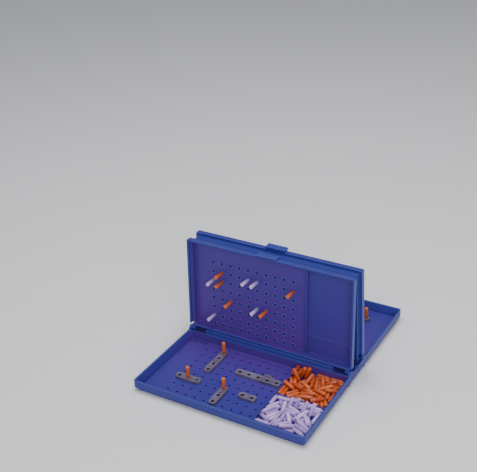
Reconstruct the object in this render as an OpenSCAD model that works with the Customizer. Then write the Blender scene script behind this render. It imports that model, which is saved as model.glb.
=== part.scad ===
// Fleet guessing game: two identical folding plastic cases standing back to back.
// Each case is a tray with an ocean grid and two peg wells, and a hinged lid with a
// target grid. Ships, hit pegs and miss pegs plug into the grids; spare pegs lie in
// the wells.
//
// A case is drawn in its own frame: x to its player's right, y from the case's back
// edge towards the player, z up from the table. place_front() and place_rear() stand
// the two cases back to back on the plane y = 0.

/* [Grid] */
// Distance from one peg hole to the next
pitch = 11; // [10.5:0.5:12.5]
// Peg holes from left to right
cols = 10; // [10:1:12]
// Peg holes from the hinge to the front
rows = 8; // [8:1:10]
// Radius of a peg hole
hole_r = 1.15; // [1.1:0.05:1.4]
// Depth of a peg hole below the grid's surface in the tray
tray_hole_depth = 2; // [1.8:0.1:3]
// Depth of a peg hole below the grid's surface in the lid
lid_hole_depth = 1.7; // [1.7:0.1:2.5]
// Height of the raised ring round each hole of the lid
ring_h = 0.6; // [0.3:0.1:0.8]
// Width of that ring's wall
ring_w = 1; // [0.8:0.1:1.2]
// Width of the ledge that carries a peg's head on a ring or a deck
seat_lip = 0.25; // [0.2:0.05:0.4]
// Depth of the wide mouth inside a ring
ring_mouth = 0.5; // [0.2:0.1:0.5]
// Height of the raised panel that carries the tray's holes
panel_rise = 0.5; // [0.3:0.1:1]
// Closed skin under the holes
skin = 1; // [0.8:0.1:1.5]

/* [Tray] */
// Depth of the tray's well below its rim, down to the grid's surface
well_depth = 9.5; // [9:0.5:12]
// Height of the wide outer wall below the rim
flange_h = 8.5; // [7:0.5:9]
// Thickness of every upright wall
wall = 2; // [1.5:0.1:2.5]
// Thickness of the ledge where the wall steps in
ledge_t = 1.8; // [1.2:0.1:2.2]
// Step inwards of the lower body below the wide wall
step_in = 3; // [2.5:0.25:4]
// Outer corner radius at the player's side
corner_r = 3; // [2.5:0.25:5]
// Corner radius of the lid's free end
lid_corner_r = 1.8; // [1.5:0.1:3]
// Corner radius of the bodies inside the wide walls
body_corner_r = 1.5; // [1:0.25:2]
// Outer corner radius at the back and the hinge
back_corner_r = 1.5; // [1:0.25:2]
// Bare floor from the well's left wall to the first column
tray_left_margin = 28; // [24:1:34]
// Bare floor from the well's back wall to the first row
tray_back_margin = 13; // [10:1:16]
// Floor from the last column to the divider
divider_margin = 6; // [5.5:0.5:8]
// Bare floor from the last row to the well's front wall
tray_front_margin = 10.5; // [8:0.5:16]
// Clear width of the peg wells
peg_well_w = 55.5; // [50:0.5:70]
// Thickness of the divider and of the rib between the peg wells
divider_t = 1.5; // [1:0.25:2]
// Height of the divider above the floor
divider_h = 4; // [3:0.5:6]
// Depth of the shallow channel behind the well
deck_drop = 2.5; // [2:0.25:3.5]
// Gap between a lid arm and the platform under the lid's foot
notch_w = 13; // [10:1:18]
// Radius of the ridge that closes the gap between the platform and the open lid
ridge_r = 2.6; // [2.2:0.1:2.7]
// Height of the bare wall above the slope inside the wide wall
slope_drop = 1; // [0.6:0.2:2]
// Length of a tick mark at the panel's edge
tick_l = 8; // [5:0.5:8.5]
// Width of a tick mark
tick_w = 1.2; // [0.8:0.1:1.4]
// Depth of a tick mark
tick_depth = 0.5; // [0.3:0.05:0.8]
// Distance of the marks behind the first row of holes
tick_back = 8.2; // [5:0.2:9]

/* [Lid] */
// Depth of the lid's recess, from its rim to the grid's surface
lid_recess = 9.5; // [9:0.5:12]
// Depth of the wide wall next to the rim
lid_flange_h = 5.5; // [4:0.5:7]
// Closed skin behind the holes
lid_skin = 0.8; // [0.8:0.1:1.5]
// Bare face from the recess's left wall to the first column
lid_left_margin = 23; // [19:1:23]
// Bare face from the recess's hinge end to the first row
lid_foot_margin = 3; // [2.5:0.25:4]
// From the last column to the rib beside the grid
lid_rib_margin = 16.5; // [15:0.5:17]
// Height of that rib above the grid's surface
lid_rib_h = 4; // [2:0.5:5]
// Height of the low cross rib beside the grid
cross_rib_h = 1; // [0.6:0.1:1.5]
// Distance of the cross rib from the recess's hinge end
cross_rib_at = 20.5; // [15:0.5:30]

/* [Hinge] */
// Distance of the hinge axis from the case's back edge
hinge_back = 15.8; // [15:0.2:18]
// Height of the hinge axis above the tray's rim
hinge_up = 1.5; // [1.5:0.1:2]
// Lean of the open lid past upright, in degrees
lean = 2.6; // [1:0.2:2.6]
// Gap between the two rims when the case is shut
shut_gap = 0.1; // [0.05:0.05:0.2]
// Radius of a hinge pin
pin_r = 1.25; // [1:0.05:1.4]
// Length of a hinge pin outside its arm
pin_l = 2; // [1.5:0.1:2.4]
// Radial clearance of a pin in its bore
pin_fit = 0.05; // [0.03:0.01:0.08]
// Radius of the ear round a bore
ear_r = 2.8; // [2.6:0.1:3]
// Thickness of an ear
ear_t = 3; // [2.8:0.1:3.6]
// Thickness of a lid arm
arm_t = 4; // [3:0.5:5]
// Radius of an arm round its pin
arm_r = 2.5; // [2.2:0.1:2.6]
// Side gap between an arm and its ear, and other small gaps of the lid
side_gap = 0.3; // [0.2:0.05:0.5]
// Distance from the hinge axis to the lid's hinge end
lid_foot = 3; // [3:0.1:3.5]
// Distance from the hinge axis to the lid's wide wall beside an ear
lid_corner = 5.8; // [5.8:0.1:7]
// Distance from the hinge axis to the front of an ear
ear_reach = 5.4; // [4.5:0.1:5.4]
// Length of the arm's heel that rests on the tray
heel_l = 4; // [3:0.5:5]
// Distance of the heel's rear end behind the hinge axis
heel_back = 9; // [8:0.5:10]
// Gap under the resting heel
heel_gap = 0.1; // [0.05:0.05:0.2]

/* [Catch] */
// Width of the thumb tab
tab_w = 24; // [18:1:30]
// Distance that the tab stands out beyond the lid's free end
tab_out = 2.7; // [2.5:0.1:4]
// Distance that the tab hangs below the lid's rim
tab_drop = 2.5; // [2.5:0.1:4]
// Gap between the tab and the tray's front wall
tab_gap = 0.8; // [0.7:0.1:1]
// Number of grip ribs on the tab
grip_ribs = 9; // [5:1:9]
// Radius of a grip rib
grip_r = 0.4; // [0.3:0.05:0.6]
// Width of the snap bead on the tray's front wall
bead_w = 16; // [10:1:17]
// Radius of that bead
bead_r = 0.5; // [0.4:0.05:0.5]
// Distance of the bead below the tray's rim
bead_drop = 0.9; // [0.8:0.05:1]
// Radius of the bead inside the tab
hook_r = 0.4; // [0.3:0.05:0.4]
// Gap between the two beads when the case is shut
hook_gap = 0.1; // [0.1:0.05:0.2]

/* [Pegs] */
// Radius of a peg's head
head_r = 2.1; // [1.8:0.05:2.2]
// Length of a peg's head
head_l = 13.5; // [12:0.5:13.5]
// Radius of a peg's tail
tail_r = 1.1; // [0.9:0.05:1.1]
// Length of a peg's tail
tail_l = 1.9; // [1.5:0.1:2.1]
// Chamfer at the free end of a head
head_chamfer = 0.7; // [0.3:0.1:1]
// Gap between loose pegs that lie side by side
loose_gap = 0.15; // [0.1:0.05:0.4]

/* [Ships] */
// Width of a ship
ship_w = 8; // [7:0.5:9]
// Height of a ship's deck above the grid
deck_h = 3; // [2.8:0.1:3.6]
// Height of the bulwark above the deck
bulwark_h = 0.5; // [0.3:0.1:0.6]
// Thickness of the bulwark
bulwark_t = 0.8; // [0.6:0.1:1]
// Length of a ship beyond its first and last hole
ship_end = 4.6; // [4.2:0.1:5]
// Depth of the wide mouth of a deck hole
mouth_depth = 0.8; // [0.4:0.1:1]
// Corner cut at the square end of a ship
hull_cut = 1.2; // [0.8:0.1:2]
// Radius of a ship's plug
plug_r = 1.1; // [0.9:0.05:1.1]
// Length of a ship's plug
plug_l = 1.6; // [1.2:0.1:1.7]
// Height of a superstructure above the deck
house_h = 1.5; // [0.8:0.1:1.6]

/* [Hidden] */
$fn = 32;

// Colours
case_blue = [0.16, 0.24, 0.62];
hit_orange = [0.92, 0.36, 0.08];
miss_white = [0.86, 0.84, 0.92];
ship_grey = [0.42, 0.42, 0.46];

// Widths
inset = step_in + wall;
grid_w = (cols - 1) * pitch;
grid_d = (rows - 1) * pitch;
case_w = 2 * inset + tray_left_margin + grid_w + divider_margin + divider_t + peg_well_w;
half_w = case_w / 2;
tray_col_x = -half_w + inset + tray_left_margin;
divider_x = tray_col_x + grid_w + divider_margin;
lid_col_x = -half_w + inset + lid_left_margin;
lid_rib_x = lid_col_x + grid_w + lid_rib_margin;

// Depths, from the back edge
well_back = hinge_back + lid_foot + wall;
tray_row_y = well_back + tray_back_margin;
well_front = tray_row_y + grid_d + tray_front_margin;
tray_d = well_front + inset;
peg_well_rib_y = (well_back + well_front) / 2;

// Heights
panel_z = skin + tray_hole_depth;
floor_z = panel_z - panel_rise;
rim_z = panel_z + well_depth;
ledge_z = rim_z - flange_h;
deck_z = rim_z - deck_drop;
hinge_z = rim_z + hinge_up;

// Lid, from the hinge axis
lid_reach = tray_d - hinge_back;
lid_row_v = lid_foot + wall + lid_foot_margin;
lid_depth = lid_recess + lid_hole_depth + lid_skin;
arm_x = half_w - ear_t - side_gap;
axis_w = hinge_up - shut_gap;

// Pegs
mouth_r = head_r - seat_lip;

// Ships: [kind, column, row, lies across the grid?]
front_fleet = [["carrier", 6, 3, true], ["battleship", 3, 1, false],
               ["cruiser", 6, 6, false], ["submarine", 1, 6, true],
               ["patrol_boat", 8, 6, true]];
rear_fleet = [["carrier", 5, 8, true], ["battleship", 8, 2, false],
              ["cruiser", 2, 2, true], ["submarine", 1, 7, true],
              ["patrol_boat", 6, 4, false]];
ship_holes = [["carrier", 5], ["battleship", 4], ["cruiser", 3], ["submarine", 3],
              ["patrol_boat", 2]];

// Hole of each hit ship that holds a peg: [kind, hole number from the ship's start]
front_ship_hits = [["battleship", 0], ["cruiser", 0], ["submarine", 1]];
rear_ship_hits = [["battleship", 2], ["cruiser", 1], ["submarine", 0]];

// Pegs in the lids: [column from the left, row from the top]
front_lid_hits = [[2, 2], [2, 3], [3, 5], [7, 5], [10, 2]];
front_lid_misses = [[1, 3], [5, 2], [6, 2], [1, 7], [6, 5]];
rear_lid_hits = [[4, 3], [5, 3], [6, 3], [9, 6], [2, 7]];
rear_lid_misses = [[3, 6], [8, 2], [7, 7], [1, 1], [10, 4]];

// Loose pegs: turn of each layer in degrees, and the share of the well it fills
hit_layers = [[8, 0.98], [-58, 0.86], [34, 0.55]];
miss_layers = [[-24, 0.98], [62, 0.9], [-2, 0.58]];

function hole_count(kind) = [for (entry = ship_holes) if (entry[0] == kind) entry[1]][0];
function fleet_entry(fleet, kind) = [for (entry = fleet) if (entry[0] == kind) entry][0];
function hit_hole(hits, kind) = [for (entry = hits) if (entry[0] == kind) entry[1]][0];

// ---- placing ----

module place_front() { mirror([0, 1, 0]) children(); }

module place_rear() { mirror([1, 0, 0]) children(); }

// From the shut lid's frame (x, distance from the hinge, height above the rim plane)
// to the open lid's place
module open_lid() {
    translate([0, hinge_back, hinge_z])
        rotate([90 + lean, 0, 0])
            translate([0, 0, -axis_w])
                children();
}

module at_tray_hole(column, row) {
    translate([tray_col_x + (column - 1) * pitch, tray_row_y + (row - 1) * pitch, panel_z])
        children();
}

module at_lid_hole(column, row) {
    translate([lid_col_x + (column - 1) * pitch, lid_row_v + (rows - row) * pitch, lid_recess])
        children();
}

// ---- outlines ----

// Rectangle with its own corner radius at each end
module outline(left, back, right, front, back_r, front_r) {
    middle = (back + front) / 2;
    translate([left, back + back_r]) square([right - left, front - back - back_r - front_r]);
    translate([left + back_r, back]) square([right - left - 2 * back_r, middle - back]);
    translate([left + front_r, middle]) square([right - left - 2 * front_r, front - middle]);
    for (x = [left + back_r, right - back_r]) translate([x, back + back_r]) circle(back_r);
    for (x = [left + front_r, right - front_r]) translate([x, front - front_r]) circle(front_r);
}

module slab(from_z, to_z) { translate([0, 0, from_z]) linear_extrude(to_z - from_z) children(); }

// ---- tray ----

module tray_outer() { outline(-half_w, 0, half_w, tray_d, back_corner_r, corner_r); }

module tray_flange_inner() {
    outline(-half_w + wall, wall, half_w - wall, tray_d - wall, back_corner_r / 2, corner_r / 2);
}

module tray_body() {
    outline(-half_w + step_in, step_in, half_w - step_in, tray_d - step_in,
            back_corner_r / 2, body_corner_r);
}

module tray_inside() {
    outline(-half_w + inset, inset, half_w - inset, well_front,
            back_corner_r / 2, body_corner_r / 2);
}

module tray_shell() {
    slab(0, ledge_z + ledge_t) difference() { tray_body(); tray_inside(); }
    slab(ledge_z, ledge_z + ledge_t) difference() { tray_outer(); tray_inside(); }
    slab(ledge_z, rim_z) difference() { tray_outer(); tray_flange_inner(); }
}

module tray_floor() {
    translate([-half_w + step_in + wall / 2, well_back - wall, 0])
        cube([case_w - 2 * step_in - wall, well_front - well_back + 1.5 * wall, floor_z]);
    panel_left = -half_w + inset + wall;
    panel_back = tray_row_y - tick_back - tick_w;
    translate([panel_left, panel_back, 0])
        cube([divider_x - panel_left, tray_row_y + grid_d + pitch / 2 - panel_back, panel_z]);
}

// Wall behind the well, the platform under the lid's foot, and a low deck for each lid arm
module tray_back() {
    platform_x = arm_x - arm_t - notch_w;
    translate([-half_w + wall / 2, well_back - wall, 0])
        cube([case_w - wall, wall, rim_z]);
    translate([-platform_x, wall / 2, rim_z - ledge_t])
        cube([2 * platform_x, well_back - wall, ledge_t]);
    for (side = [0, 1]) mirror([side, 0, 0]) {
        translate([platform_x - wall, wall / 2, deck_z - ledge_t])
            cube([wall, well_back - wall, rim_z - deck_z + ledge_t]);
        translate([platform_x - wall, wall / 2, deck_z - ledge_t])
            cube([half_w - wall / 2 - platform_x + wall, well_back - wall, ledge_t]);
    }
}

// Long round ridge along the hinge axis, under the open lid's foot
module hinge_ridge() {
    ridge_x = arm_x - arm_t - notch_w - 1;
    translate([0, hinge_back, hinge_z]) upright(-ridge_x, 2 * ridge_x) {
        circle(ridge_r);
        translate([-ridge_r, -hinge_up - ledge_t / 2]) square([2 * ridge_r, hinge_up + ledge_t / 2]);
    }
}

// Slope from the inside of the wide wall down to the ledge, drawn across a wall
module slope_section() {
    foot = ledge_z + ledge_t;
    polygon([[-wall / 2, foot - ledge_t / 2], [step_in, foot - ledge_t / 2], [step_in, foot],
             [0, rim_z - slope_drop], [-wall / 2, rim_z - slope_drop]]);
}

module tray_slopes() {
    side_l = tray_d - wall / 2 - well_back;
    for (side = [0, 1]) mirror([side, 0, 0])
        translate([-half_w + wall, tray_d - wall / 2, 0]) rotate([90, 0, 0])
            linear_extrude(side_l + wall / 2) slope_section();
    translate([-half_w + wall / 2, tray_d - wall, 0]) rotate([90, 0, 90])
        linear_extrude(case_w - wall) mirror([1, 0]) slope_section();
}

module tray_dividers() {
    translate([divider_x, well_back - wall / 2, 0])
        cube([divider_t, well_front - well_back + wall, floor_z + divider_h]);
    translate([divider_x, peg_well_rib_y - divider_t / 2, 0])
        cube([peg_well_w + divider_t + wall / 2, divider_t, floor_z + divider_h]);
}

// Upright ear with a sloping front, drawn in the plane of y and z
module ear_outline() {
    slope_foot = [ear_reach, -hinge_up];
    touch = atan2(slope_foot[1], slope_foot[0]) + acos(ear_r / norm(slope_foot));
    // The slope ends just inside the round, so that the two cross
    slope_end = (ear_r - 0.05) * [cos(touch), sin(touch)];
    circle(ear_r);
    polygon([[-ear_r, 0], [-ear_r, deck_z - hinge_z], [ear_reach, deck_z - hinge_z], slope_foot,
             slope_end, [0, 0]]);
}

module upright(x, width) {
    translate([x, 0, 0]) rotate([90, 0, 90]) linear_extrude(width) children();
}

module ears() {
    for (x = [-half_w, half_w - ear_t])
        translate([0, hinge_back, hinge_z]) upright(x, ear_t) ear_outline();
}

module pin_bores() {
    bore_l = pin_l + side_gap;
    for (x = [-half_w + ear_t - bore_l, half_w - ear_t - 1])
        translate([x, hinge_back, hinge_z]) rotate([0, 90, 0])
            cylinder(h = bore_l + 1, r = pin_r + pin_fit);
}

module tray_bead() {
    translate([-bead_w / 2, tray_d, rim_z - bead_drop]) rotate([0, 90, 0])
        cylinder(h = bead_w, r = bead_r);
}

// Marks along the panel's back edge, one behind each column and two beyond the first
module tick_marks() {
    for (column = [-1:cols])
        at_tray_hole(column, 1) translate([-tick_l / 2, -tick_back - tick_w / 2, -tick_depth])
            cube([tick_l, tick_w, 1]);
}

module tray() {
    color(case_blue) difference() {
        union() {
            tray_shell();
            tray_floor();
            tray_back();
            hinge_ridge();
            tray_slopes();
            tray_dividers();
            ears();
            tray_bead();
        }
        pin_bores();
        tick_marks();
        for (column = [1:cols], row = [1:rows])
            at_tray_hole(column, row) translate([0, 0, -tray_hole_depth])
                cylinder(h = tray_hole_depth + 1, r = hole_r);
    }
}

// ---- lid ----

module lid_outer() {
    difference() {
        outline(-half_w, lid_foot, half_w, lid_reach, back_corner_r, lid_corner_r);
        for (x = [-half_w - 1, arm_x]) translate([x, 0]) square([half_w - arm_x + 1, lid_corner]);
    }
}

module lid_flange_inner() {
    outline(-half_w + wall, lid_foot + wall, half_w - wall, lid_reach - wall,
            back_corner_r / 2, lid_corner_r / 2);
}

module lid_body() {
    difference() {
        outline(-half_w + step_in, lid_foot, half_w - step_in, lid_reach - step_in,
                back_corner_r, body_corner_r);
        for (x = [-half_w - 1, arm_x]) translate([x, 0]) square([half_w - arm_x + 1, lid_corner]);
    }
}

module lid_inside() {
    outline(-half_w + inset, lid_foot + wall, half_w - inset, lid_reach - inset,
            back_corner_r / 2, body_corner_r / 2);
}

module lid_shell() {
    slab(0, lid_flange_h) difference() { lid_outer(); lid_flange_inner(); }
    slab(lid_flange_h - ledge_t, lid_flange_h) difference() { lid_outer(); lid_inside(); }
    slab(lid_flange_h - ledge_t, lid_recess) difference() { lid_body(); lid_inside(); }
    slab(lid_recess, lid_depth) lid_body();
    // The hinge end's wall closes the wide recess beside the ears
    for (x = [-arm_x, arm_x - inset])
        translate([x, lid_foot, 0]) cube([inset, wall, lid_flange_h]);
}

module lid_rings() {
    for (column = [1:cols], row = [1:rows])
        at_lid_hole(column, row) translate([0, 0, -ring_h])
            cylinder(h = ring_h + lid_hole_depth / 2, r = mouth_r + ring_w);
}

module lid_ribs() {
    foot = lid_foot + wall / 2;
    translate([lid_rib_x, foot, lid_recess - lid_rib_h])
        cube([divider_t, lid_reach - inset - foot + wall / 2, lid_rib_h + lid_hole_depth]);
    translate([lid_rib_x, lid_foot + wall + cross_rib_at, lid_recess - cross_rib_h])
        cube([half_w - inset - lid_rib_x + wall / 2, divider_t, cross_rib_h + lid_hole_depth]);
}

// A point given behind and above the axis of the open lid, in the shut lid's frame
function in_lid(y, z) =
    let (turn = 90 + lean)
    [y * cos(turn) + z * sin(turn), axis_w - y * sin(turn) + z * cos(turn)];

module arm_outline() {
    heel_z = deck_z - hinge_z + heel_gap;
    translate([0, axis_w]) circle(arm_r);
    polygon([[lid_foot + wall / 2, side_gap], [0, axis_w - arm_r], [-arm_r, axis_w],
             in_lid(-heel_back + heel_l, heel_z), in_lid(-heel_back, heel_z),
             [lid_foot + wall / 2, lid_depth - wall]]);
}

module arms() {
    for (x = [-arm_x, arm_x - arm_t]) {
        upright(x, arm_t) arm_outline();
    }
    for (x = [-arm_x - pin_l, arm_x - 1])
        translate([x, 0, axis_w]) rotate([0, 90, 0]) cylinder(h = pin_l + 1, r = pin_r);
}

module thumb_tab() {
    rib_step = tab_w / grip_ribs;
    skirt_v = lid_reach + tab_gap;
    skirt_t = tab_out - tab_gap;
    translate([-tab_w / 2, lid_reach - wall / 2, 0])
        cube([tab_w, tab_gap + wall, lid_flange_h]);
    translate([-tab_w / 2, skirt_v, -tab_drop])
        cube([tab_w, skirt_t, tab_drop + lid_flange_h]);
    for (i = [0:grip_ribs - 1])
        translate([(i + 0.5) * rib_step - tab_w / 2, lid_reach + tab_out, -tab_drop])
            cylinder(h = tab_drop + lid_flange_h, r = grip_r);
    translate([-bead_w / 2, skirt_v, -bead_drop - bead_r - hook_gap - hook_r])
        rotate([0, 90, 0]) cylinder(h = bead_w, r = hook_r);
}

module lid() {
    color(case_blue) open_lid() difference() {
        union() {
            lid_shell();
            lid_rings();
            lid_ribs();
            arms();
            thumb_tab();
        }
        for (column = [1:cols], row = [1:rows])
            at_lid_hole(column, row) translate([0, 0, -ring_h - 1]) {
                cylinder(h = ring_h + 1 + lid_hole_depth, r = hole_r);
                cylinder(h = 1 + ring_mouth, r = mouth_r);
            }
    }
}

// ---- pegs ----

// A peg stands on its seat plane: tail below, head above
module peg() {
    rotate_extrude() polygon([[0, -tail_l], [tail_r, -tail_l], [tail_r, 0], [head_r, 0],
                              [head_r, head_l - head_chamfer],
                              [head_r - head_chamfer, head_l], [0, head_l]]);
}

module lid_pegs(spots, tint) {
    color(tint) open_lid()
        for (spot = spots)
            at_lid_hole(spot[0], spot[1]) translate([0, 0, -ring_h]) mirror([0, 0, 1]) peg();
}

// Loose pegs lie in layers, each layer turned its own way
module loose_pegs(well_y, well_w, well_d, layers, tint) {
    peg_l = head_l + tail_l;
    side_step = 2 * head_r + loose_gap;
    end_step = peg_l + 2 * loose_gap;
    centre = [divider_x + divider_t + well_w / 2, well_y + well_d / 2];
    reach = ceil(max(well_w, well_d) / side_step);
    color(tint)
        for (k = [0:len(layers) - 1], i = [-reach:reach], j = [-3:3]) {
            turn = layers[k][0];
            along = (j + (i % 2 == 0 ? 0.25 : -0.25)) * end_step;
            across = i * side_step;
            spot = [along * cos(turn) - across * sin(turn), along * sin(turn) + across * cos(turn)];
            half_x = abs(peg_l / 2 * cos(turn)) + head_r + loose_gap;
            half_y = abs(peg_l / 2 * sin(turn)) + head_r + loose_gap;
            fill = layers[k][1];
            fits = abs(spot[0]) + half_x < well_w / 2 && abs(spot[1]) + half_y < well_d / 2;
            heaped = norm([spot[0] / well_w, spot[1] / well_d]) < fill / 2;
            if (fits && heaped)
                translate([centre[0] + spot[0], centre[1] + spot[1],
                           floor_z + head_r + loose_gap + k * side_step])
                    rotate([0, 0, turn]) rotate([0, 90, 0])
                        translate([0, 0, (tail_l - head_l) / 2]) peg();
        }
}

module spare_hit_pegs() {
    loose_pegs(well_back, peg_well_w, peg_well_rib_y - divider_t / 2 - well_back, hit_layers, hit_orange);
}

module spare_miss_pegs() {
    loose_pegs(peg_well_rib_y + divider_t / 2, peg_well_w,
               well_front - peg_well_rib_y - divider_t / 2, miss_layers, miss_white);
}

// ---- ships ----

// Ends of a hull: a square end with cut corners, a round one, or a point made by two arcs
module ship_outline(holes, width, end_l, stern, bow) {
    last = (holes - 1) * pitch;
    translate([0, -width / 2]) square([last, width]);
    ship_end_outline(width, end_l, stern, -1);
    translate([last, 0]) ship_end_outline(width, end_l, bow, 1);
}

module ship_end_outline(width, end_l, shape, side) {
    arc_r = (end_l * end_l + width * width / 4) / width;
    mirror([side < 0 ? 1 : 0, 0]) {
        if (shape == "square") {
            polygon([[-1, -width / 2], [end_l - hull_cut, -width / 2], [end_l, hull_cut - width / 2],
                     [end_l, width / 2 - hull_cut], [end_l - hull_cut, width / 2], [-1, width / 2]]);
        } else if (shape == "round") {
            circle(width / 2);
        } else {
            intersection() {
                translate([0, arc_r - width / 2]) circle(arc_r, $fn = 96);
                translate([0, width / 2 - arc_r]) circle(arc_r, $fn = 96);
                translate([-0.5, -width / 2]) square([end_l + 1, width]);
            }
        }
    }
}

// Hull with a bulwark, plugs under its first and last hole, and a hole for each peg
module hull_body(holes, stern, bow) {
    last = (holes - 1) * pitch;
    difference() {
        union() {
            linear_extrude(deck_h + bulwark_h) ship_outline(holes, ship_w, ship_end, stern, bow);
            for (x = [0, last]) translate([x, 0, -plug_l]) cylinder(h = plug_l + 1, r = plug_r);
        }
        translate([0, 0, deck_h]) linear_extrude(bulwark_h + 1)
            ship_outline(holes, ship_w - 2 * bulwark_t, ship_end - bulwark_t, stern, bow);
    }
}

// Holes for pegs, each with a wide mouth
module ship_holes_cut(holes) {
    for (i = [0:holes - 1]) translate([i * pitch, 0, deck_h]) {
        translate([0, 0, -tray_hole_depth]) cylinder(h = tray_hole_depth + house_h + 1, r = hole_r);
        translate([0, 0, -mouth_depth]) cylinder(h = mouth_depth + house_h + 1, r = mouth_r);
    }
}

// Small deckhouse between two holes
module deckhouse(x, length, width, height) {
    translate([x - length / 2, -width / 2, deck_h - 0.5]) cube([length, width, height + 0.5]);
}

module carrier() {
    holes = 5;
    difference() {
        union() {
            hull_body(holes, "square", "square");
            translate([2.45 * pitch, -0.7 * ship_w, 0])
                cube([1.1 * pitch, 0.33 * ship_w, deck_h + house_h * 0.8]);
            translate([2.6 * pitch, -0.65 * ship_w, 0])
                cube([0.7 * pitch, 0.24 * ship_w, deck_h + house_h * 2]);
        }
        ship_holes_cut(holes);
    }
}

module battleship() {
    holes = 4;
    difference() {
        union() {
            hull_body(holes, "point", "point");
            for (i = [0, 2]) deckhouse((i + 0.5) * pitch, 0.5 * ship_w, 0.38 * ship_w, house_h * 0.6);
            deckhouse(1.5 * pitch, 0.62 * ship_w, 0.5 * ship_w, house_h);
        }
        ship_holes_cut(holes);
    }
}

module cruiser() {
    holes = 3;
    difference() {
        union() {
            hull_body(holes, "round", "point");
            deckhouse(0.5 * pitch, 0.58 * ship_w, 0.42 * ship_w, house_h);
            deckhouse(1.5 * pitch, 0.45 * ship_w, 0.3 * ship_w, house_h * 0.5);
        }
        ship_holes_cut(holes);
    }
}

module submarine() {
    holes = 3;
    difference() {
        union() {
            hull_body(holes, "round", "round");
            translate([1.5 * pitch, 0, deck_h - 0.5]) cylinder(h = house_h + 0.5, r = 0.19 * ship_w);
            deckhouse(1.5 * pitch, 0.62 * ship_w, 0.18 * ship_w, house_h * 0.6);
            translate([2 * pitch, 0, deck_h - 0.5])
                cylinder(h = 0.5 + house_h * 0.6, r = mouth_r + bulwark_t);
        }
        ship_holes_cut(holes);
    }
}

module patrol_boat() {
    holes = 2;
    difference() {
        union() {
            hull_body(holes, "point", "square");
            deckhouse(0.5 * pitch, 0.62 * ship_w, 0.55 * ship_w, house_h * 0.6);
            deckhouse(0.45 * pitch, 0.25 * ship_w, 0.38 * ship_w, house_h);
        }
        ship_holes_cut(holes);
    }
}

module ship(kind) {
    color(ship_grey) {
        if (kind == "carrier") carrier();
        if (kind == "battleship") battleship();
        if (kind == "cruiser") cruiser();
        if (kind == "submarine") submarine();
        if (kind == "patrol_boat") patrol_boat();
    }
}

module placed_ship(fleet, kind) {
    entry = fleet_entry(fleet, kind);
    at_tray_hole(entry[1], entry[2]) rotate([0, 0, entry[3] ? 0 : 90]) ship(kind);
}

module placed_ship_peg(fleet, hits, kind) {
    entry = fleet_entry(fleet, kind);
    at_tray_hole(entry[1], entry[2]) rotate([0, 0, entry[3] ? 0 : 90])
        translate([hit_hole(hits, kind) * pitch, 0, deck_h]) color(hit_orange) peg();
}

// ---- the two cases ----

place_front() tray();  // front_tray
place_front() lid();  // front_lid
place_front() placed_ship(front_fleet, "carrier");  // front_carrier
place_front() placed_ship(front_fleet, "battleship");  // front_battleship
place_front() placed_ship(front_fleet, "cruiser");  // front_cruiser
place_front() placed_ship(front_fleet, "submarine");  // front_submarine
place_front() placed_ship(front_fleet, "patrol_boat");  // front_patrol_boat
place_front() placed_ship_peg(front_fleet, front_ship_hits, "battleship");  // front_battleship_peg
place_front() placed_ship_peg(front_fleet, front_ship_hits, "cruiser");  // front_cruiser_peg
place_front() placed_ship_peg(front_fleet, front_ship_hits, "submarine");  // front_submarine_peg
place_front() lid_pegs(front_lid_hits, hit_orange);  // front_lid_hit_pegs
place_front() lid_pegs(front_lid_misses, miss_white);  // front_lid_miss_pegs
place_front() spare_hit_pegs();  // front_spare_hit_pegs
place_front() spare_miss_pegs();  // front_spare_miss_pegs

place_rear() tray();  // rear_tray
place_rear() lid();  // rear_lid
place_rear() placed_ship(rear_fleet, "carrier");  // rear_carrier
place_rear() placed_ship(rear_fleet, "battleship");  // rear_battleship
place_rear() placed_ship(rear_fleet, "cruiser");  // rear_cruiser
place_rear() placed_ship(rear_fleet, "submarine");  // rear_submarine
place_rear() placed_ship(rear_fleet, "patrol_boat");  // rear_patrol_boat
place_rear() placed_ship_peg(rear_fleet, rear_ship_hits, "battleship");  // rear_battleship_peg
place_rear() placed_ship_peg(rear_fleet, rear_ship_hits, "cruiser");  // rear_cruiser_peg
place_rear() placed_ship_peg(rear_fleet, rear_ship_hits, "submarine");  // rear_submarine_peg
place_rear() lid_pegs(rear_lid_hits, hit_orange);  // rear_lid_hit_pegs
place_rear() lid_pegs(rear_lid_misses, miss_white);  // rear_lid_miss_pegs
place_rear() spare_hit_pegs();  // rear_spare_hit_pegs
place_rear() spare_miss_pegs();  // rear_spare_miss_pegs
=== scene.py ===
import math

import bmesh
import bpy
import numpy as np
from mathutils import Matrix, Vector
from mathutils.bvhtree import BVHTree


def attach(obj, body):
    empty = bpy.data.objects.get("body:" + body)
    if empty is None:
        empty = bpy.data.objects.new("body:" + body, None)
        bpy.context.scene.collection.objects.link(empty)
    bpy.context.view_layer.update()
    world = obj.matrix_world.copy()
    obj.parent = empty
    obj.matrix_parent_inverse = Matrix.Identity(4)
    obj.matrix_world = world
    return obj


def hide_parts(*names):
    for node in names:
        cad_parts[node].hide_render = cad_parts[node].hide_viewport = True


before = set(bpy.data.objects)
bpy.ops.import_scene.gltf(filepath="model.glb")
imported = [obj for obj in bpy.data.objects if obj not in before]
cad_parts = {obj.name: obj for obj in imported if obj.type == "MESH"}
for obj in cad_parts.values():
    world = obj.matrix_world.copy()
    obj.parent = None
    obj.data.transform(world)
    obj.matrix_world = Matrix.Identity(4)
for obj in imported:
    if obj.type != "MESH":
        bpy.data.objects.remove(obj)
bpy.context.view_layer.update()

mm = 0.001
cases = ("front", "rear")


def towardPlayer(case):
    # the front case's player sits at -Y, the rear one's at +Y
    return -1 if case == "front" else 1


def inCase(case, x, depth, up):
    # a point of one case, counted in millimetres from its back edge, the player's right and the table
    way = towardPlayer(case)
    return Vector((-way * x, way * depth, up)) * mm


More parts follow.
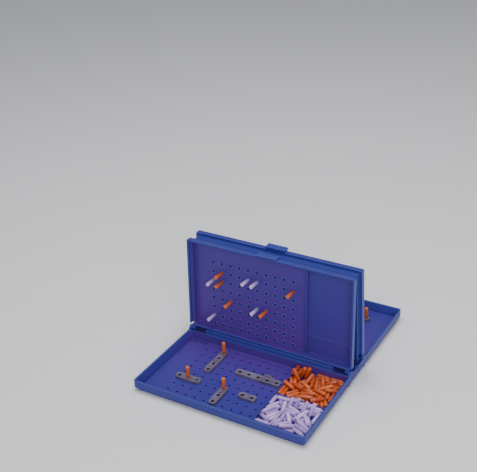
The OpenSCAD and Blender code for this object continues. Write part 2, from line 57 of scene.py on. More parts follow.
class Wire:
    # one socket of a node, used in sums as a number would be
    def __init__(self, desk, socket):
        self.desk, self.socket = desk, socket

    def sum(self, operation, *parts):
        return self.desk.add("ShaderNodeMath", {"operation": operation}, dict(enumerate(parts)))["Value"]

    def __add__(self, other):
        return self.sum("ADD", self, other)

    def __radd__(self, other):
        return self.sum("ADD", other, self)

    def __sub__(self, other):
        return self.sum("SUBTRACT", self, other)

    def __rsub__(self, other):
        return self.sum("SUBTRACT", other, self)

    def __mul__(self, other):
        return self.sum("MULTIPLY", self, other)

    def __rmul__(self, other):
        return self.sum("MULTIPLY", other, self)

    def between(self, low, high):
        # 0 at low, 1 at high, eased
        return self.desk.add("ShaderNodeMapRange", {"interpolation_type": "SMOOTHSTEP"},
                             {"Value": self, "From Min": low, "From Max": high})["Result"]


class Made:
    # a node that was added, read by the names of its outputs
    def __init__(self, desk, node):
        self.desk, self.node = desk, node

    def __getitem__(self, name):
        return Wire(self.desk, self.node.outputs[name])


class Desk:
    # a node tree while it is written
    def __init__(self, tree):
        self.tree = tree
        tree.nodes.clear()

    def add(self, kind, settings=None, inputs=None):
        node = self.tree.nodes.new(kind)
        for name, value in (settings or {}).items():
            setattr(node, name, value)
        for name, value in (inputs or {}).items():
            if isinstance(value, Wire):
                self.tree.links.new(value.socket, node.inputs[name])
            else:
                node.inputs[name].default_value = value
        return Made(self, node)

    def blendColour(self, amount, first, second):
        # sockets 6 and 7 are the colours of a Mix node that is set to colour, and output 2 is its result
        mix = self.add("ShaderNodeMix", {"data_type": "RGBA"},
                       {0: amount, 6: first if isinstance(first, Wire) else (*first, 1),
                        7: second if isinstance(second, Wire) else (*second, 1)})
        return Wire(self, mix.node.outputs[2])

    def speckle(self, scale, detail=3, roughness=0.5):
        place = self.add("ShaderNodeTexCoord")["Object"]
        return self.add("ShaderNodeTexNoise", None, {"Vector": place, "Scale": scale, "Detail": detail,
                                                     "Roughness": roughness})["Fac"]

    def marked(self, name):
        # what the mesh says about each of its faces or pegs
        return self.add("ShaderNodeAttribute", {"attribute_name": name})["Fac"]

    def grain(self, look):
        # the fine grain of moulded plastic
        fine = self.speckle(look["grain"], 2)
        return self.add("ShaderNodeBump", None, {"Strength": look["grainStrength"],
                                                 "Distance": look["grainHeight"], "Height": fine})["Normal"]

    def finish(self, inputs):
        shader = self.add("ShaderNodeBsdfPrincipled", None, inputs)
        self.add("ShaderNodeOutputMaterial", None, {"Surface": shader["BSDF"]})


def newMaterial(name):
    material = bpy.data.materials.new(name)
    material.use_nodes = True
    return material, Desk(material.node_tree)


# Case plastic: blue polystyrene, paler on its rims and rounded edges, part wear where hands rub them and part
# painted highlight, more violet inside the wells as painted shade and painted reflection, and with holes and
# marks painted dark as shade
casePlastic = {
    "body": (0.028, 0.034, 0.242),
    # paler edge tone: part wear, part painted highlight
    "wearAndHighlight": (0.075, 0.122, 0.450),
    # painted shade and painted violet reflection inside the wells
    "deep": (0.089, 0.029, 0.272),
    # painted shade down the holes and mark slots
    "holeShade": (0.016, 0.011, 0.110),
    "cloud": 26,
    "deepLeast": 0.75, "deepCloud": 0.4,
    "rubbedLeast": 0.45, "rubbedCloud": 0.7,
    "scuff": 420, "scuffOnset": (0.60, 0.72), "scuffTint": 0.08, "scuffRoughness": 0.10,
    "grain": 2600, "grainHeight": 0.00002, "grainStrength": 0.5,
    "roughness": 0.43, "roughnessSpread": 0.16,
    "ior": 1.5, "specular": 0.25, "coat": 0.05, "coatRoughness": 0.3,
}


def makeCasePlastic(look):
    material, desk = newMaterial("casePlastic")
    cloud = desk.speckle(look["cloud"], 4, 0.6)
    scuff = desk.speckle(look["scuff"], 5, 0.7).between(*look["scuffOnset"])
    # painted shade and painted violet reflection, stronger lower in the wells
    deep = desk.marked("paintedWellShade") * (look["deepLeast"] + cloud * look["deepCloud"])
    # the paler tone on rims and rounded edges is part wear and part painted highlight
    wearAndHighlight = desk.marked("wearAndHighlight") * (look["rubbedLeast"] + cloud * look["rubbedCloud"])
    colour = desk.blendColour(deep, look["body"], look["deep"])
    colour = desk.blendColour(wearAndHighlight, colour, look["wearAndHighlight"])
    colour = desk.blendColour(scuff * look["scuffTint"], colour, look["wearAndHighlight"])
    # painted shade down the holes and mark slots
    colour = desk.blendColour(desk.marked("holeShade"), colour, look["holeShade"])
    rough = look["roughness"] + (cloud - 0.5) * look["roughnessSpread"] + scuff * look["scuffRoughness"]
    desk.finish({"Base Color": colour, "Roughness": rough, "Normal": desk.grain(look), "IOR": look["ior"],
                 "Specular IOR Level": look["specular"], "Coat Weight": look["coat"],
                 "Coat Roughness": look["coatRoughness"]})
    return material


# Ship plastic: warm grey, with paler edges, part wear and part painted highlight, and deck holes painted dark
# as shade
shipPlastic = {
    "body": (0.088, 0.067, 0.130),
    # paler edge tone: part wear, part painted highlight
    "wearAndHighlight": (0.285, 0.245, 0.350),
    # painted shade down the deck holes
    "holeShade": (0.012, 0.010, 0.016),
    "cloud": 60, "cloudOnset": (0.35, 0.75), "cloudTint": 0.35,
    "rubbedLeast": 0.5, "rubbedCloud": 0.6,
    "grain": 2400, "grainHeight": 0.00002, "grainStrength": 0.5,
    "roughness": 0.5, "roughnessSpread": 0.2,
    "ior": 1.5,
}


def makeShipPlastic(look):
    material, desk = newMaterial("shipPlastic")
    cloud = desk.speckle(look["cloud"], 4, 0.6)
    # the paler edges are part wear and part painted highlight
    wearAndHighlight = desk.marked("wearAndHighlight") * (look["rubbedLeast"] + cloud * look["rubbedCloud"])
    cloudTint = cloud.between(*look["cloudOnset"]) * look["cloudTint"]
    colour = desk.blendColour(cloudTint, look["body"], look["wearAndHighlight"])
    colour = desk.blendColour(wearAndHighlight, colour, look["wearAndHighlight"])
    # painted shade down the deck holes
    colour = desk.blendColour(desk.marked("holeShade"), colour, look["holeShade"])
    rough = look["roughness"] + (cloud - 0.5) * look["roughnessSpread"]
    desk.finish({"Base Color": colour, "Roughness": rough, "Normal": desk.grain(look), "IOR": look["ior"]})
    return material


# Peg plastics: each peg has its own small change of tone
pegPlastic = {
    "hit": {"body": (0.440, 0.053, 0.010), "pale": (0.690, 0.150, 0.034)},
    "miss": {"body": (0.290, 0.175, 0.510), "pale": (0.680, 0.500, 0.900)},
    "toneShare": 0.75,
    "cloud": 160, "cloudOnset": (0.3, 0.7), "cloudTint": 0.25,
    "grain": 3200, "grainHeight": 0.00002, "grainStrength": 0.4,
    "roughness": 0.36, "roughnessSpread": 0.15,
    "ior": 1.48,
}


def makePegPlastic(colourName, look):
    material, desk = newMaterial(colourName + "Plastic")
    cloud = desk.speckle(look["cloud"], 3, 0.6)
    cloudTint = cloud.between(*look["cloudOnset"]) * look["cloudTint"]
    paler = desk.marked("tone") * look["toneShare"] + cloudTint
    colour = desk.blendColour(paler, look[colourName]["body"], look[colourName]["pale"])
    rough = look["roughness"] + (cloud - 0.5) * look["roughnessSpread"]
    desk.finish({"Base Color": colour, "Roughness": rough, "Normal": desk.grain(look), "IOR": look["ior"]})
    return material


finishes = {
    "case_plastic": makeCasePlastic(casePlastic),
    "ship_plastic": makeShipPlastic(shipPlastic),
    "hit_plastic": makePegPlastic("hit", pegPlastic),
    "miss_plastic": makePegPlastic("miss", pegPlastic),
}
print("plastics made")


def showPiece(mesh, name, body, slot, *nodes):
    mesh.materials.clear()
    mesh.materials.append(finishes[slot])
    piece = bpy.data.objects.new(name, mesh)
    bpy.context.scene.collection.objects.link(piece)
    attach(piece, body)
    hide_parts(*nodes)
    return piece


# The case's own sizes, in millimetres and degrees, which say where a face of it lies
caseSize = {
    "halfWidth": 100.0,
    "trayDepth": 126.3,
    "hingeBack": 15.8,
    "hingeUp": 14.0,
    "axisToRim": 1.4,
    "lean": 2.6,
    "lidFoot": 3.0,
    "lidReach": 110.5,
}

# Where the holes are: the first hole of each grid and the step, in millimetres, and the counts
grid = {
    "tray": (-67.0, 33.8),
    "lid": (-72.0, 8.0),
    "step": 11.0,
    "across": 10,
    "down": 8,
}

# Which faces are paler, part from handling and part as painted highlight, which get painted shade and
# reflection low in the wells, and which get painted shade down a hole or a mark.
# Lengths are in millimetres, and shares go from 0 to 1
tints = {
    "holeReach": 1.95,
    "tray": {
        "rimBand": 2.7, "rimUp": 2.0, "rimShare": 1.0, "otherShare": 0.2,
        "shadeDepth": (20.0, 45.0, 90.0), "shadeShare": (1.0, 0.6, 0.2),
        "deepFrom": 13.0, "deepOver": 7.0,
        "inside": 1.9, "stepBand": 3.5, "stepUp": 4.2, "underside": 0.5,
        "holes": (0.9, 2.9), "marks": (24.9, 26.4), "marksEnd": 38.0, "pitShare": 0.6,
    },
    "lid": {
        "rimBand": 2.5, "rimDown": 6.0, "sideBand": 0.3, "sideShare": 0.5, "otherShare": 0.15,
        "ringReach": 3.0, "rings": (8.8, 9.35), "ringShare": 0.45, "ringEdgeShare": 0.35,
        "shadeReach": (15.0, 80.0), "shadeShare": (1.0, 0.6), "deepFrom": -0.5, "deepOver": 6.0,
        "besideGrid": 41.0, "besideShare": 0.45,
        "inside": 1.9, "stepBand": 3.5, "stepDown": 5.3, "back": 11.0,
        "holes": (9.0, 11.3), "pitShare": 0.5,
    },
    "ship": {"holes": (3.2, 5.9)},
}

# Moulded copies of the CAD solids: how their edges are rounded, in millimetres and degrees
moulded = {
    "weld": 0.001,
    "flat": 0.5,
    "sharp": 28,
    "smooth": 19,
    "edge": {"tray": 0.30, "lid": 0.26, "ship": 0.18},
    "smallLoop": 9.0,
    "smallShare": {"tray": 0.45, "lid": 0.5, "ship": 0.6},
    "segments": 2,
    "flatness": 80,
    "stray": 0.4,
}


def inTray(case):
    # places as millimetres across, from the case's back edge and up
    way = towardPlayer(case)
    return lambda spot: (-way * spot[:, 0], way * spot[:, 1], spot[:, 2])


def inLid(case):
    # places as millimetres across, out from the hinge, and down into the lid from its rim
    turn = math.radians(90 + caseSize["lean"])

    def turned(spot):
        across, depth, up = inTray(case)(spot)
        back, rise = depth - caseSize["hingeBack"], up - caseSize["hingeUp"]
        return (across, math.cos(turn) * back + math.sin(turn) * rise,
                math.cos(turn) * rise - math.sin(turn) * back + caseSize["axisToRim"])
    return turned


def cornersFromHole(mesh, turned, first):
    # how far the corners of each face are, at most, from the nearest hole of a grid
    spot = np.empty(len(mesh.vertices) * 3)
    mesh.vertices.foreach_get("co", spot)
    across, down = turned(spot.reshape(-1, 3) / mm)[:2]
    gap = []
    for value, start, count in ((across, first[0], grid["across"]), (down, first[1], grid["down"])):
        turn = np.clip(np.round((value - start) / grid["step"]), 0, count - 1)
        gap.append(value - start - turn * grid["step"])
    corners, starts = np.empty(len(mesh.loops), int), np.empty(len(mesh.polygons), int)
    mesh.loops.foreach_get("vertex_index", corners)
    mesh.polygons.foreach_get("loop_start", starts)
    return np.maximum.reduceat(np.hypot(*gap)[corners], starts)


def within(values, band):
    return (values > band[0]) & (values < band[1])


def trayTints(look, across, depth, up, fromHole, rounded):
    inset = np.minimum(caseSize["halfWidth"] - np.abs(across), caseSize["trayDepth"] - depth)
    atRim = (inset < look["rimBand"]) & (up > look["rimUp"])
    # rims and rounded edges get a paler tone, part wear and part painted highlight
    wearAndHighlight = rounded * np.where(atRim, look["rimShare"], look["otherShare"])
    outside = (up < look["underside"]) | (inset < look["stepBand"]) & (up < look["stepUp"])
    # painted shade in the wells: strongest at the back under the lids, fading towards the front, and darker
    # further down
    paintedWellShade = np.interp(depth, look["shadeDepth"], look["shadeShare"]) * (inset > look["inside"]) * ~outside
    paintedWellShade = paintedWellShade * np.clip((look["deepFrom"] - up) / look["deepOver"], 0, 1)
    # hole mouths and mark slots are painted dark as shade
    hole = (fromHole < tints["holeReach"]) & within(up, look["holes"])
    mark = within(depth, look["marks"]) & (up < look["holes"][1]) & (across < look["marksEnd"])
    return wearAndHighlight, paintedWellShade, look["pitShare"] * (hole | mark)


def lidTints(look, across, reach, down, fromHole, rounded):
    sides = caseSize["halfWidth"] - np.abs(across)
    stepped = np.minimum(sides, caseSize["lidReach"] - reach)  # the foot has no step in its outer wall
    inset = np.minimum(stepped, reach - caseSize["lidFoot"])
    atRim = (inset < look["rimBand"]) & (down < look["rimDown"])
    # rims, outer side faces and rounded edges get a paler tone, part wear and part painted highlight
    rimTone = np.maximum(rounded, look["sideShare"] * (sides < look["sideBand"]))
    # the ring tops are painted paler all over, as a painted highlight
    onRing = (fromHole < look["ringReach"]) & within(down, look["rings"])
    ringTone = look["ringShare"] + look["ringEdgeShare"] * rounded
    wearAndHighlight = np.where(atRim, rimTone, np.where(onRing, ringTone, rounded * look["otherShare"]))
    outside = (down > look["back"]) | (stepped < look["stepBand"]) & (down > look["stepDown"])
    # painted shade in the lid's hollow: strongest near the hinge, less towards the far end and beside the
    # grid, and darker further in
    paintedWellShade = np.interp(reach, look["shadeReach"], look["shadeShare"]) * (inset > look["inside"]) * ~outside
    paintedWellShade = paintedWellShade * np.where(across > look["besideGrid"], look["besideShare"], 1.0)
    paintedWellShade = paintedWellShade * np.clip((down - look["deepFrom"]) / look["deepOver"], 0, 1)
    # hole mouths are painted dark as shade
    hole = (fromHole < tints["holeReach"]) & within(down, look["holes"])
    return wearAndHighlight, paintedWellShade, look["pitShare"] * hole


def shipTints(look, across, depth, up, fromHole, rounded):
    # every rounded edge gets the paler tone, part wear and part painted highlight; the deck holes get painted
    # shade
    return rounded, rounded * 0.0, (fromHole < tints["holeReach"]) & within(up, look["holes"])


def tintFaces(mesh, kind, case, rounded):
    # each face's own tints, from its place in the case
    spot = np.empty(len(mesh.polygons) * 3)
    mesh.polygons.foreach_get("center", spot)
    turned = inLid(case) if kind == "lid" else inTray(case)
    fromHole = cornersFromHole(mesh, turned, grid["lid" if kind == "lid" else "tray"])
    tint = {"tray": trayTints, "lid": lidTints, "ship": shipTints}[kind]
    values = tint(tints[kind], *turned(spot.reshape(-1, 3) / mm), fromHole, rounded)
    # the three tints: the paler tone (part wear, part painted highlight), painted shade in the wells, and
    # painted shade down holes
    for name, value in zip(("wearAndHighlight", "paintedWellShade", "holeShade"), values):
        mesh.attributes.new(name, "FLOAT", "FACE").data.foreach_set("value", np.asarray(value, float))


def cellCuts(shell, kind, case):
    # cut a grid's panel halfway between its holes, so that each hole has a small face of its own
    way, turn = towardPlayer(case), math.radians(90 + caseSize["lean"])
    out, rise = (1, 0) if kind == "tray" else (math.cos(turn), math.sin(turn))
    back, up = (0, 0) if kind == "tray" else (caseSize["hingeBack"], caseSize["hingeUp"])
    acrossFirst, downFirst = (start - grid["step"] / 2 for start in grid[kind])
    planes = []
    for i in range(grid["across"] + 1):
        planes.append(((-way * (acrossFirst + grid["step"] * i), 0, 0), (1, 0, 0)))
    for i in range(grid["down"] + 1):
        far = downFirst + grid["step"] * i
        planes.append(((0, way * (back + far * out), up + far * rise), (0, way * out, rise)))
    for place, normal in planes:
        everything = shell.verts[:] + shell.edges[:] + shell.faces[:]
        cut = bmesh.ops.bisect_plane(shell, geom=everything, dist=1e-6, plane_co=Vector(place) * mm,
                                     plane_no=normal)
        for part in cut["geom_cut"]:
            if isinstance(part, bmesh.types.BMEdge):
                part.seam = True


def edgeShares(shell, kind):
    # how much each edge is rounded: none where the faces hardly turn, less round a hole than along a wall
    share = {}
    waiting = {edge for edge in shell.edges if edge.is_manifold
               and edge.calc_face_angle() > math.radians(moulded["sharp"])}
    while waiting:
        loop, nextUp = [], [waiting.pop()]
        while nextUp:
            edge = nextUp.pop()
            loop.append(edge)
            for other in (link for vert in edge.verts for link in vert.link_edges if link in waiting):
                waiting.discard(other)
                nextUp.append(other)
        places = np.array([vert.co for edge in loop for vert in edge.verts]) / mm
        small = np.ptp(places, axis=0).max() < moulded["smallLoop"]
        for edge in loop:
            share[edge] = moulded["smallShare"][kind] if small else 1.0
    return share


def weldedSolid(node):
    solid = bmesh.new()
    solid.from_mesh(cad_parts[node].data)
    bmesh.ops.remove_doubles(solid, verts=solid.verts, dist=moulded["weld"] * mm)
    return solid


def mouldedMesh(node, kind, case):
    shell = weldedSolid(node)
    if kind in ("tray", "lid"):
        cellCuts(shell, kind, case)
    bmesh.ops.dissolve_limit(shell, angle_limit=math.radians(moulded["flat"]), verts=shell.verts,
                             edges=shell.edges, delimit={"SEAM"})
    weight = shell.edges.layers.float.new("bevel_weight_edge")
    for edge, share in edgeShares(shell, kind).items():
        edge[weight] = share
    surface = BVHTree.FromBMesh(shell)
    mesh = bpy.data.meshes.new(node + "_shape")
    shell.to_mesh(mesh)
    shell.free()
    for face in mesh.polygons:
        face.use_smooth = True
        face.material_index = 0
    mesh.set_sharp_from_angle(angle=math.radians(moulded["smooth"]))
    while len(mesh.materials) < 2:  # the second slot tells the rounded faces from the others
        mesh.materials.append(finishes["case_plastic"])
    draft = bpy.data.objects.new(node + "_draft", mesh)
    bpy.context.scene.collection.objects.link(draft)
    rounding = draft.modifiers.new("edges", "BEVEL")
    rounding.width = moulded["edge"][kind] * mm
    rounding.segments = moulded["segments"]
    rounding.limit_method = "WEIGHT"
    rounding.use_clamp_overlap = False
    rounding.material = 1
    flatness = draft.modifiers.new("flatness", "WEIGHTED_NORMAL")  # wide faces stay flat to their edges
    flatness.keep_sharp = True
    flatness.weight = moulded["flatness"]
    depsgraph = bpy.context.evaluated_depsgraph_get()
    result = bpy.data.meshes.new_from_object(draft.evaluated_get(depsgraph))
    bpy.data.objects.remove(draft)
    for vert in result.vertices:  # a corner that the rounding threw off goes back onto the solid
        nearest, _, _, far = surface.find_nearest(vert.co)
        if far > moulded["stray"] * mm:
            vert.co = nearest
    rounded = np.array([face.material_index == 1 for face in result.polygons], float)
    result.polygons.foreach_set("material_index", [0] * len(result.polygons))
    tintFaces(result, kind, case, rounded)
    return result


for case in cases:
    for kind in ("tray", "lid"):
        node = f"{case}_{kind}"
        mesh = mouldedMesh(node, kind, case)
        showPiece(mesh, f"{node}_moulding", node, "case_plastic", node)
        print(node, "moulded,", len(mesh.polygons), "faces")
    for kind in ("carrier", "battleship", "cruiser", "submarine", "patrol_boat"):
        node = f"{case}_{kind}"
        showPiece(mouldedMesh(node, "ship", case), f"{node}_moulding", node, "ship_plastic", node)
print("cases and ships moulded")


# Pegs: one turned shape, set in place many times over by a node tree. Sizes are in millimetres,
# and the tones are the least share of the paler colour and how far a peg may rise above it
peg = {
    "headRadius": 2.1,
    "headLength": 13.5,
    "tailRadius": 1.1,
    "tailLength": 1.9,
    "crown": 0.65,
    "tailBevel": 0.2,
    "shoulderBevel": 0.15,
    "crownCurve": ((0, 1), (0.15, 0.45), (0.45, 0.15), (1, 0)),
    "sides": 18,
    "smooth": 50,
    "heapTones": (0.0, 1.0),
    # pegs standing in ships and lids start paler than loose ones, as a painted highlight
    "gridTones": (0.6, 0.4),
    "shipSeed": 3, "lidSeed": 11,
}


def turnedPeg(size):
    head, length, tail, drop = (size[k] for k in ("headRadius", "headLength", "tailRadius", "tailLength"))
    crown, tip, edge, sides = size["crown"], size["tailBevel"], size["shoulderBevel"], size["sides"]
    profile = [(0, -drop), (tail - tip, -drop), (tail, tip - drop), (tail, 0), (head - edge, 0), (head, edge)]
    profile += [(head - inward * crown, length - down * crown) for inward, down in size["crownCurve"]]
    profile.append((0, length))
    angles = [2 * math.pi * i / sides for i in range(sides)]
    turned = bmesh.new()
    rings = []
    for radius, height in profile:
        if radius == 0:
            rings.append([turned.verts.new((0, 0, height * mm))])
        else:
            places = [(radius * mm * math.cos(a), radius * mm * math.sin(a), height * mm) for a in angles]
            rings.append([turned.verts.new(place) for place in places])
    for low, high in zip(rings, rings[1:]):
        for i in range(sides):
            k = (i + 1) % sides
            corners = [low[i % len(low)], low[k % len(low)], high[k % len(high)], high[i % len(high)]]
            turned.faces.new(list(dict.fromkeys(corners))).smooth = True
    mesh = bpy.data.meshes.new("turnedPeg")
    turned.to_mesh(mesh)
    turned.free()
    mesh.set_sharp_from_angle(angle=math.radians(size["smooth"]))
    return bpy.data.objects.new("turnedPeg", mesh)


def makePegTree():
    tree = bpy.data.node_groups.new("pegsInPlace", "GeometryNodeTree")
    sockets = tree.interface
    sockets.new_socket("Geometry", in_out="INPUT", socket_type="NodeSocketGeometry")
    inputs = {}
    for name, kind in (("Peg", "Object"), ("Plastic", "Material"), ("Size", "Float"), ("Tone", "Float"),
                       ("Tone range", "Float"), ("Seed", "Int")):
        inputs[name] = sockets.new_socket(name, in_out="INPUT", socket_type="NodeSocket" + kind).identifier
    sockets.new_socket("Geometry", in_out="OUTPUT", socket_type="NodeSocketGeometry")
    desk = Desk(tree)
    given = desk.add("NodeGroupInput")
    shape = desk.add("GeometryNodeObjectInfo", None, {"Object": given["Peg"]})["Geometry"]
    turn = desk.add("GeometryNodeInputNamedAttribute", {"data_type": "FLOAT_VECTOR"}, {"Name": "turn"})
    rotation = desk.add("FunctionNodeEulerToRotation", None, {"Euler": turn["Attribute"]})["Rotation"]
    placed = desk.add("GeometryNodeInstanceOnPoints", None,
                      {"Points": given["Geometry"], "Instance": shape, "Rotation": rotation,
                       "Scale": given["Size"]})["Instances"]
    chance = desk.add("FunctionNodeRandomValue", {"data_type": "FLOAT"}, {"Seed": given["Seed"]})
    tone = given["Tone"] + Wire(desk, chance.node.outputs[1]) * given["Tone range"]  # output 1 is the number
    toned = desk.add("GeometryNodeStoreNamedAttribute", {"data_type": "FLOAT", "domain": "INSTANCE"},
                     {"Geometry": placed, "Name": "tone", "Value": tone})["Geometry"]
    real = desk.add("GeometryNodeRealizeInstances", None, {"Geometry": toned})["Geometry"]
    coloured = desk.add("GeometryNodeSetMaterial", None, {"Geometry": real, "Material": given["Plastic"]})
    desk.add("NodeGroupOutput", None, {"Geometry": coloured["Geometry"]})
    return tree, inputs


pegShape = turnedPeg(peg)
pegTree, pegInputs = makePegTree()


def standPegs(name, node, slot, seats, tones, seed):
    # seats: where each peg's shoulder is, and which way its head points
    points = bpy.data.meshes.new(name + "_seats")
    points.from_pydata([tuple(place) for place, _ in seats], [], [])
    turn = points.attributes.new("turn", "FLOAT_VECTOR", "POINT")
    turn.data.foreach_set("vector", [v for _, way in seats for v in way.to_track_quat("Z", "Y").to_euler()])
    draft = bpy.data.objects.new(name + "_draft", points)
    bpy.context.scene.collection.objects.link(draft)
    modifier = draft.modifiers.new("pegs", "NODES")
    modifier.node_group = pegTree
    for key, value in (("Peg", pegShape), ("Plastic", finishes[slot]), ("Size", 1.0), ("Tone", tones[0]),
                       ("Tone range", tones[1]), ("Seed", seed)):
        modifier[pegInputs[key]] = value
    mesh = bpy.data.meshes.new_from_object(draft.evaluated_get(bpy.context.evaluated_depsgraph_get()))
    draft.modifiers.remove(modifier)
    bpy.data.objects.remove(draft)
    mesh.name = name
    return showPiece(mesh, name, node, slot, node)


def seatsIn(node, way):
    # the shoulder of each peg of a CAD node, whose pegs all point the same way
    solid = weldedSolid(node)
    waiting, seats = set(solid.verts), []
    while waiting:
        group, nextUp = [], [waiting.pop()]
        while nextUp:
            vert = nextUp.pop()
            group.append(vert.co.copy())
            for link in vert.link_edges:
                other = link.other_vert(vert)
                if other in waiting:
                    waiting.discard(other)
                    nextUp.append(other)
        foot = min(point.dot(way) for point in group)
        level = [point - way * point.dot(way) for point in group]
        middle = Vector([(min(p[i] for p in level) + max(p[i] for p in level)) / 2 for i in range(3)])
        seats.append((middle + way * (foot + peg["tailLength"] * mm), way))
    solid.free()
    return sorted(seats, key=lambda seat: tuple(round(v, 5) for v in seat[0]))


lean = math.radians(caseSize["lean"])
for case in cases:
    for kind in ("battleship", "cruiser", "submarine"):
        node = f"{case}_{kind}_peg"
        seats = seatsIn(node, Vector((0, 0, 1)))
        # these standing pegs get the paler tones, a painted highlight
        standPegs(f"{node}_turned", node, "hit_plastic", seats, peg["gridTones"], peg["shipSeed"])
    outward = Vector((0, towardPlayer(case) * math.cos(lean), math.sin(lean)))
    for colour in ("hit", "miss"):
        node = f"{case}_lid_{colour}_pegs"
        seats = seatsIn(node, outward)
        standPegs(f"{node}_turned", node, f"{colour}_plastic", seats, peg["gridTones"], peg["lidSeed"])
print("pegs stood in ships and lids")


# Heaps of loose pegs: they fall into their well, roll off each other and settle. Places are in
# millimetres of the case, and a propped peg is held by the two middles of its round ends
heap = {
    "wellLeft": 39.5, "wellRight": 95.0,
    "rearWell": (20.8, 70.3), "frontWell": (71.8, 121.3),
    "floor": 2.5,
    "hits": 52, "misses": 54,
    "dropInset": 5, "dropClear": 1, "dropStep": 0.55, "dropTilt": 0.25,
    "steps": 420, "quickSteps": 120, "rounds": 5,
    "fall": 0.03, "keep": 0.90, "give": 0.35,
    "propped": {
        "hit": [((50.6, 40.0, 5.8), (44.5, 38.5, 15.0)), ((50.5, 34.5, 7.2), (54.8, 35.2, 17.5)),
                ((55.1, 34.0, 7.0), (59.4, 33.4, 17.3))],
        "miss": [((68.5, 85.5, 6.0), (71.6, 81.5, 15.8)), ((77.0, 87.0, 5.6), (80.6, 81.9, 14.9)),
                 ((86.0, 86.6, 6.2), (88.8, 81.8, 15.6)), ((61.5, 87.5, 5.2), (64.2, 81.0, 13.7))],
    },
}


def nearestShares(a, b, c, d):
    # how far along two rods, a to b and c to d, they come nearest to each other
    one, two, gap = b - a, d - c, a - c
    oneOne, twoTwo, oneTwo = (one * one).sum(1), (two * two).sum(1), (one * two).sum(1)
    oneGap, twoGap = (one * gap).sum(1), (two * gap).sum(1)
    skew = np.maximum(oneOne * twoTwo - oneTwo * oneTwo, 1e-9)
    onFirst = np.clip((oneTwo * twoGap - oneGap * twoTwo) / skew, 0, 1)
    onSecond = np.clip((oneTwo * onFirst + twoGap) / twoTwo, 0, 1)
    return np.clip((oneTwo * onSecond - oneGap) / oneOne, 0, 1), onSecond


def settlePegs(low, high, count, seed, propped):
    rng = np.random.default_rng(seed)
    radius, inset = peg["headRadius"], heap["dropInset"]
    half = (peg["headLength"] + peg["tailLength"]) / 2 - radius
    low, high = np.array(low), np.array(high)
    middle = np.stack([rng.uniform(low[0] + inset, high[0] - inset, count),
                       rng.uniform(low[1] + inset, high[1] - inset, count),
                       low[2] + radius + heap["dropClear"] + np.arange(count) * heap["dropStep"]], 1)
    heading, tilt = rng.uniform(0, math.pi, count), rng.normal(0, heap["dropTilt"], count)
    way = np.stack([np.cos(heading) * np.cos(tilt), np.sin(heading) * np.cos(tilt), np.sin(tilt)], 1)
    ends = np.stack([middle - way * half, middle + way * half], 1)
    held = np.array(propped).reshape(-1, 2, 3)
    ends[:len(held)] = held
    before = ends.copy()
    i, j = np.triu_indices(count, 1)
    for _ in range(heap["steps"]):
        ends, before = ends + (ends - before) * heap["keep"], ends.copy()
        ends[:, :, 2] -= heap["fall"]
        for _ in range(heap["rounds"]):
            shares = nearestShares(ends[i, 0], ends[i, 1], ends[j, 0], ends[j, 1])
            onOne, onOther = (share[:, None] for share in shares)
            apart = (ends[i, 0] * (1 - onOne) + ends[i, 1] * onOne
                     - ends[j, 0] * (1 - onOther) - ends[j, 1] * onOther)
            gap = np.maximum(np.linalg.norm(apart, axis=1, keepdims=True), 1e-6)
            push = apart / gap * np.maximum(2 * radius - gap, 0) * 0.5
            move = np.zeros_like(ends)
            for which, share, sign in ((i, onOne, 1), (j, onOther, -1)):
                weight = sign / np.maximum((1 - share) ** 2 + share ** 2, 0.3)
                np.add.at(move[:, 0], which, push * (1 - share) * weight)
                np.add.at(move[:, 1], which, push * share * weight)
            ends = ends + move * heap["give"]
            middle, way = ends.mean(1), ends[:, 1] - ends[:, 0]
            way = way / np.linalg.norm(way, axis=1, keepdims=True) * half
            ends = np.stack([middle - way, middle + way], 1)
            ends = np.maximum(ends, low + radius)
            ends[:, :, :2] = np.minimum(ends[:, :, :2], high[:2] - radius)
            ends[:len(held)] = held
    flip = rng.random(count) < 0.5
    flip[:len(held)] = False
    ends[flip] = ends[flip][:, ::-1]
    return ends


for case in cases:
    for colour, well, count, seed in (("hit", "rearWell", "hits", 1), ("miss", "frontWell", "misses", 2)):
        back, front = heap[well]
        propped = heap["propped"][colour] if case == "front" else []
        low, high = (heap["wellLeft"], back, heap["floor"]), (heap["wellRight"], front, 0)
        ends = settlePegs(low, high, heap[count], seed + 10 * cases.index(case), propped)
        seats = []
        for first, second in ends:
            first, second = inCase(case, *first), inCase(case, *second)
            way = (second - first).normalized()
            seats.append(((first + second) / 2 - way * (peg["headLength"] - peg["tailLength"]) / 2 * mm, way))
        node = f"{case}_spare_{colour}_pegs"
        standPegs(f"{node}_heap", node, f"{colour}_plastic", seats, peg["heapTones"], seed)
        print(node, "settled, top at", round(float(ends[:, :, 2].max()) + peg["headRadius"], 1), "mm")


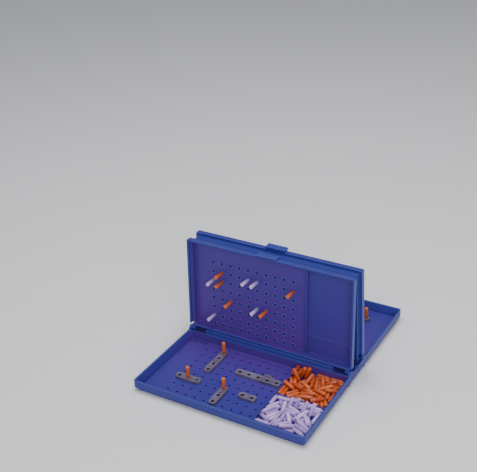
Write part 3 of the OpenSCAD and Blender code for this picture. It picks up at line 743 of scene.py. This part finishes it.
# Studio: a plain pale floor, one broad soft key, a fill and a pale sky. Sizes are in metres
studio = {
    "floor": (0.80, 0.80, 0.82), "floorRoughness": 0.9,
    "floorPatch": (0.7, 0.7, 0.72), "patches": 9, "patchTint": 0.06,
    "floorHalf": 3.0, "floorLevel": -0.0002,
    "sky": (0.93, 0.95, 1.0),
    "skyStrength": 0.40,
    "aim": (0, 0, 0.03),
    "lamps": (  # name, place, size and watts
        ("key", (-0.02, 0.06, 1.30), 0.7, 12),
        ("fill", (0.75, -1.05, 0.80), 1.1, 12),
    ),
}


def makeStudio(setup):
    material, desk = newMaterial("paleFloor")
    patches = desk.speckle(setup["patches"], 3) * setup["patchTint"]
    colour = desk.blendColour(patches, setup["floor"], setup["floorPatch"])
    desk.finish({"Base Color": colour, "Roughness": setup["floorRoughness"]})
    mesh = bpy.data.meshes.new("studioFloor")
    half, level = setup["floorHalf"], setup["floorLevel"]
    mesh.from_pydata([(-half, -half, level), (half, -half, level), (half, half, level), (-half, half, level)],
                     [], [(0, 1, 2, 3)])
    mesh.materials.append(material)
    floor = bpy.data.objects.new("studioFloor", mesh)
    bpy.context.scene.collection.objects.link(floor)
    world = bpy.data.worlds.new("paleSky")
    bpy.context.scene.world = world
    world.use_nodes = True
    sky = world.node_tree.nodes["Background"]
    sky.inputs["Color"].default_value = (*setup["sky"], 1)
    sky.inputs["Strength"].default_value = setup["skyStrength"]
    for name, place, size, power in setup["lamps"]:
        light = bpy.data.lights.new(name, "AREA")
        light.size, light.energy = size, power
        lamp = bpy.data.objects.new(name, light)
        lamp.location = place
        lamp.rotation_euler = (Vector(setup["aim"]) - Vector(place)).to_track_quat("-Z", "Y").to_euler()
        bpy.context.scene.collection.objects.link(lamp)


makeStudio(studio)

# Camera: at the player's right, looking down over the front case
viewpoint = {"place": (0.4084, -0.7298, 0.5849), "turn": (65.686, 1.548, 28.748), "lens": 68.18,
             "sensor": 36, "shift": (-0.0597, -0.1132)}
lensData = bpy.data.cameras.new("viewpoint")
lensData.lens, lensData.sensor_width = viewpoint["lens"], viewpoint["sensor"]
lensData.shift_x, lensData.shift_y = viewpoint["shift"]
camera = bpy.data.objects.new("viewpoint", lensData)
camera.location = viewpoint["place"]
camera.rotation_euler = [math.radians(a) for a in viewpoint["turn"]]
bpy.context.scene.collection.objects.link(camera)
bpy.context.scene.camera = camera
print("studio and camera set")
